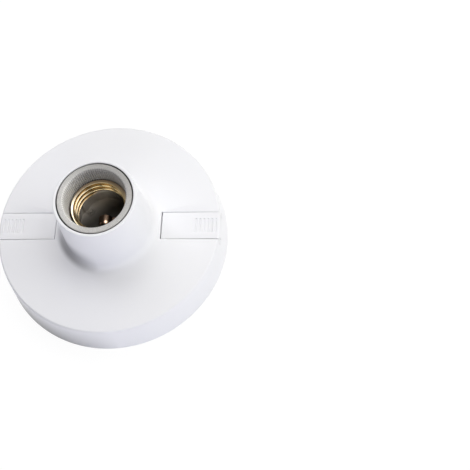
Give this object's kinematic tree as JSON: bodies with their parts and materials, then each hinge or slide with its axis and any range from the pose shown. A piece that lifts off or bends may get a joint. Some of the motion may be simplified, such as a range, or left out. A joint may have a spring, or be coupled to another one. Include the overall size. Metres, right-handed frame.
{
  "type": "batten lamp holder",
  "caption": "Round surface-mount lamp holder: white dish base, upright collar with a porcelain-lined screw socket, and sliding covers over the fixing slots.",
  "frame": {"origin": "centre of the rear rim plane, which lies on the mounting surface", "axes": "+Z along the socket towards the lamp, X along the two screw covers, Y across them"},
  "size_m": [0.12, 0.12, 0.0532],
  "materials": {
    "white_plastic": "semi-gloss moulded white",
    "porcelain": "unglazed pale grey with fine speckle",
    "brass": "bright rolled brass",
    "bronze": "bright spring bronze",
    "nickel": "satin plated strip"
  },
  "bodies": {
    "holder": {"base_shell": "white_plastic", "porcelain_core": "porcelain", "screw_shell": "brass", "contact_rivet": "brass", "shell_rivet_front": "brass", "shell_rivet_rear": "brass", "terminal_plate_left": "nickel", "terminal_plate_right": "nickel", "clamp_washer_left": "nickel", "clamp_washer_right": "nickel", "wiring_cover": "white_plastic"},
    "left_screw_cover": {"slide_cover_left": "white_plastic"},
    "right_screw_cover": {"slide_cover_right": "white_plastic"},
    "contact_leaf": {"centre_contact": "bronze"},
    "left_terminal_screw": {"terminal_screw_left": "brass"},
    "right_terminal_screw": {"terminal_screw_right": "brass"}
  },
  "joints": [
    {"name": "left_cover_slide", "type": "slide", "parent": "holder", "child": "left_screw_cover", "axis": [-1, 0, 0], "range_m": [0, 0.025]},
    {"name": "right_cover_slide", "type": "slide", "parent": "holder", "child": "right_screw_cover", "axis": [1, 0, 0], "range_m": [0, 0.025]},
    {"name": "contact_press", "type": "hinge", "parent": "holder", "child": "contact_leaf", "pos_m": [0.0049, 0, 0.0247], "axis": [0, -1, 0], "range_deg": [0, 12], "stiffness_Nm_per_rad": 0.12},
    {"name": "left_screw_turn", "type": "hinge", "parent": "holder", "child": "left_terminal_screw", "pos_m": [-0.0094, 0, 0.0126], "axis": [0, 0, 1], "range_deg": [0, 1080]},
    {"name": "right_screw_turn", "type": "hinge", "parent": "holder", "child": "right_terminal_screw", "pos_m": [0.0094, 0, 0.0126], "axis": [0, 0, 1], "range_deg": [0, 1080]}
  ]
}
